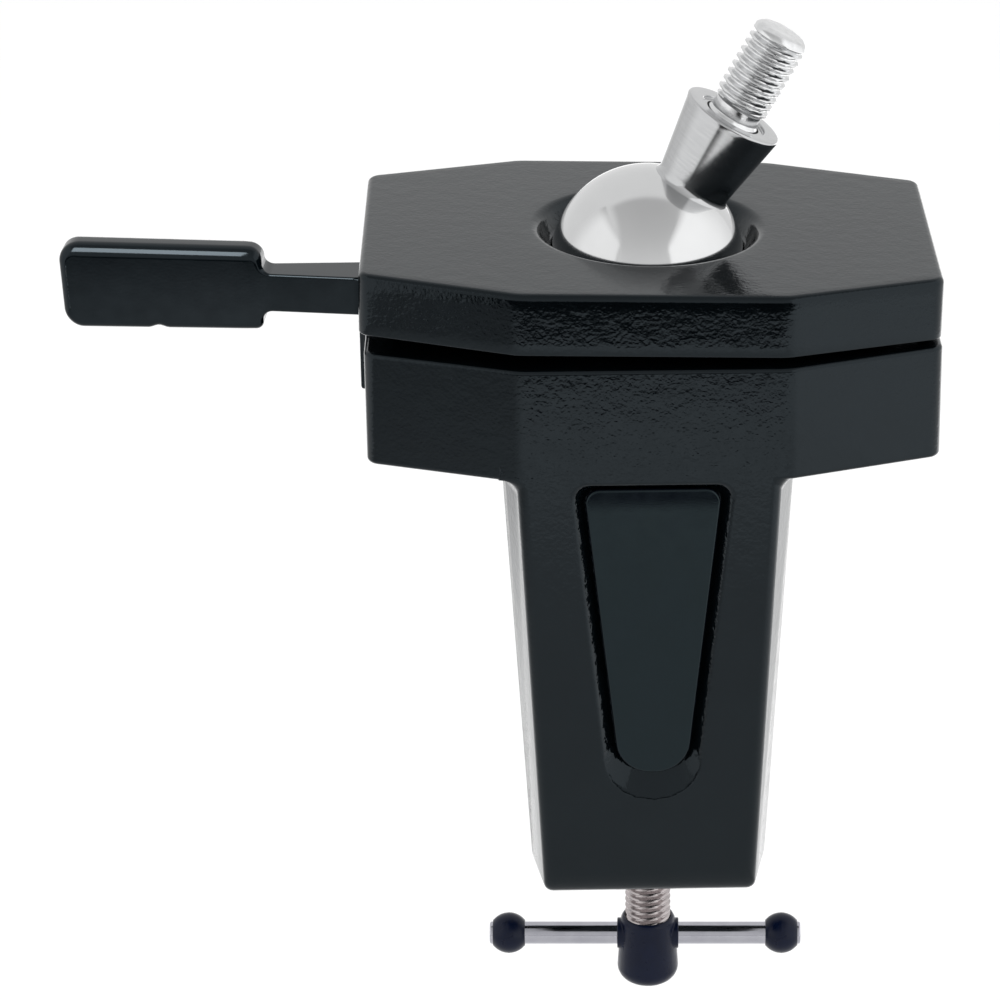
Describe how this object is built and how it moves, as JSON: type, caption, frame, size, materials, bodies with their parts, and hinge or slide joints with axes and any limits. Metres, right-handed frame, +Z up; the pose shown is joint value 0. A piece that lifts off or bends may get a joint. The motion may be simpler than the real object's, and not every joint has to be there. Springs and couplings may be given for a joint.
{
  "type": "ball joint work holder",
  "caption": "Bench clamp with an octagonal head that grips a polished steel ball carrying a threaded stud, locked by a side lever; a screw spindle with a tommy bar holds it to a table edge.",
  "frame": {"origin": "on the upper jaw's clamping face, on the vertical axis through the ball's centre and the spindle", "axes": "+Z up along the spindle, +X towards the side away from the locking lever, -Y towards the front of the spine"},
  "size_m": [0.1797, 0.0816, 0.2214],
  "materials": {
    "black_paint": "gloss black paint with a slight orange-peel",
    "lever_paint": "smooth gloss black",
    "polished_steel": "mirror polished",
    "turned_steel": "fine turned, bright",
    "bright_steel": "bright, threaded",
    "zinc_steel": "zinc plated",
    "seat_bronze": "turned bronze",
    "plate_plastic": "satin black, blank",
    "handle_plastic": "satin blue-black"
  },
  "bodies": {
    "frame": {"clamp_frame": "black_paint", "nameplate": "plate_plastic", "pivot_screws": "zinc_steel", "pivot_washers": "zinc_steel", "thrust_washer": "zinc_steel"},
    "plate": {"upper_plate": "black_paint"},
    "lever": {"locking_lever": "lever_paint", "clamp_bolt": "zinc_steel", "lever_pin": "zinc_steel", "return_spring": "zinc_steel"},
    "seat": {"ball_seat": "seat_bronze"},
    "ball": {"ball": "polished_steel", "neck_cone": "turned_steel", "threaded_stud": "bright_steel"},
    "pad": {"pressure_pad": "zinc_steel", "pad_snap_ring": "zinc_steel"},
    "spindle": {"clamp_spindle": "bright_steel", "handle_hub": "handle_plastic"},
    "bar": {"tommy_bar": "polished_steel", "bar_cap_left": "handle_plastic", "bar_cap_right": "handle_plastic"}
  },
  "joints": [
    {"name": "lever_turn", "type": "hinge", "parent": "frame", "child": "lever", "pos_m": [-0.05, 0, 0.018], "axis": [0, 0, 1], "range_deg": [-40, 44]},
    {"name": "plate_clamp", "type": "hinge", "parent": "frame", "child": "plate", "pos_m": [0.049, 0, 0.0259], "axis": [0, 1, 0], "range_deg": [-0.08, 0.08], "deforming": ["return_spring"]},
    {"name": "ball_swivel", "type": "hinge", "parent": "frame", "child": "seat", "pos_m": [0, 0, 0.0322], "axis": [0, 0, 1], "continuous": true},
    {"name": "ball_tilt", "type": "hinge", "parent": "seat", "child": "ball", "pos_m": [0, 0, 0.0322], "axis": [0, 1, 0], "range_deg": [-77.6, 18.4]},
    {"name": "spindle_feed", "type": "slide", "parent": "frame", "child": "pad", "axis": [0, 0, 1], "range_m": [-0.02775, 0.027]},
    {"name": "spindle_turn", "type": "hinge", "parent": "pad", "child": "spindle", "pos_m": [0, 0, -0.09], "axis": [0, 0, 1], "range_deg": [-6672, 6492]},
    {"name": "bar_slide", "type": "slide", "parent": "spindle", "child": "bar", "axis": [0.9995, -0.0314, 0], "range_m": [-0.019, 0.019]}
  ],
  "couplings": [
    {"joint": "plate_clamp", "follows": "lever_turn", "ratio": -0.0016077},
    {"joint": "spindle_turn", "follows": "spindle_feed", "rad_per_m": 4188.8}
  ]
}
